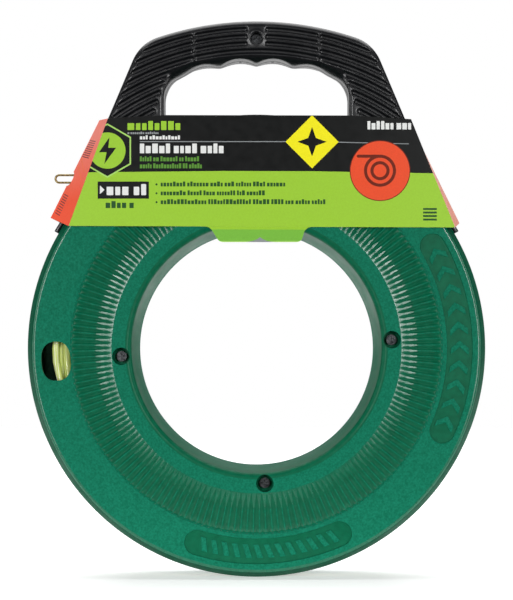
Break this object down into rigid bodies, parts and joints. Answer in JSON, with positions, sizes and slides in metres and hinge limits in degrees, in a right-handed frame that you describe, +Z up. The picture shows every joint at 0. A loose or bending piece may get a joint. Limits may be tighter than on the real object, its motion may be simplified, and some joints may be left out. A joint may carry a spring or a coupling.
{
  "type": "fish tape reel",
  "caption": "Round two-shell reel case that turns in a fixed grip handle and pays out nylon wire-pulling tape through the handle, in its card sleeve.",
  "frame": {"origin": "centre of the hub opening, on the case's axis of rotation, in the middle plane between the two shells", "axes": "+Z up towards the grip, +X to the right seen from the front, +Y along the case's axis away from the viewer, so the front face points to -Y"},
  "size_m": [0.33, 0.059, 0.4009],
  "materials": {
    "case_green": "moulded, fine-textured bands between smooth flutes",
    "handle_black": "satin moulded",
    "screw_black": "black oxide",
    "tape_nylon": "smooth translucent",
    "fitting_brass": "dull drawn",
    "card_print": "printed card, satin varnish",
    "card_flap": "printed card, satin varnish"
  },
  "bodies": {
    "handle": {"handle_front_half": "handle_black", "handle_rear_half": "handle_black", "grip_screw": "screw_black", "leg_screws": "screw_black", "tape_exit_guide": "handle_black", "tape_lead": "tape_nylon", "card_front_panel": "card_print", "card_front_tab": "card_print", "card_rear_panel": "card_print", "card_left_front_flap": "card_flap", "card_left_rear_flap": "card_flap", "card_right_front_flap": "card_flap", "card_right_rear_flap": "card_flap"},
    "case": {"case_front_shell": "case_green", "case_rear_shell": "case_green", "case_screws": "screw_black", "tape_coil": "tape_nylon", "tape_inner_tail": "tape_nylon", "inner_end_ferrule": "fitting_brass", "inner_end_eye": "fitting_brass"},
    "tape_tip": {"tape_end": "tape_nylon", "tip_ferrule": "fitting_brass", "pulling_eyelet": "fitting_brass"}
  },
  "joints": [
    {"name": "case_spin", "type": "hinge", "parent": "handle", "child": "case", "pos_m": [0, 0, 0], "axis": [0, 1, 0], "continuous": true},
    {"name": "tape_pull", "type": "slide", "parent": "handle", "child": "tape_tip", "axis": [-1, 0, 0], "range_m": [0, 0.018]}
  ]
}
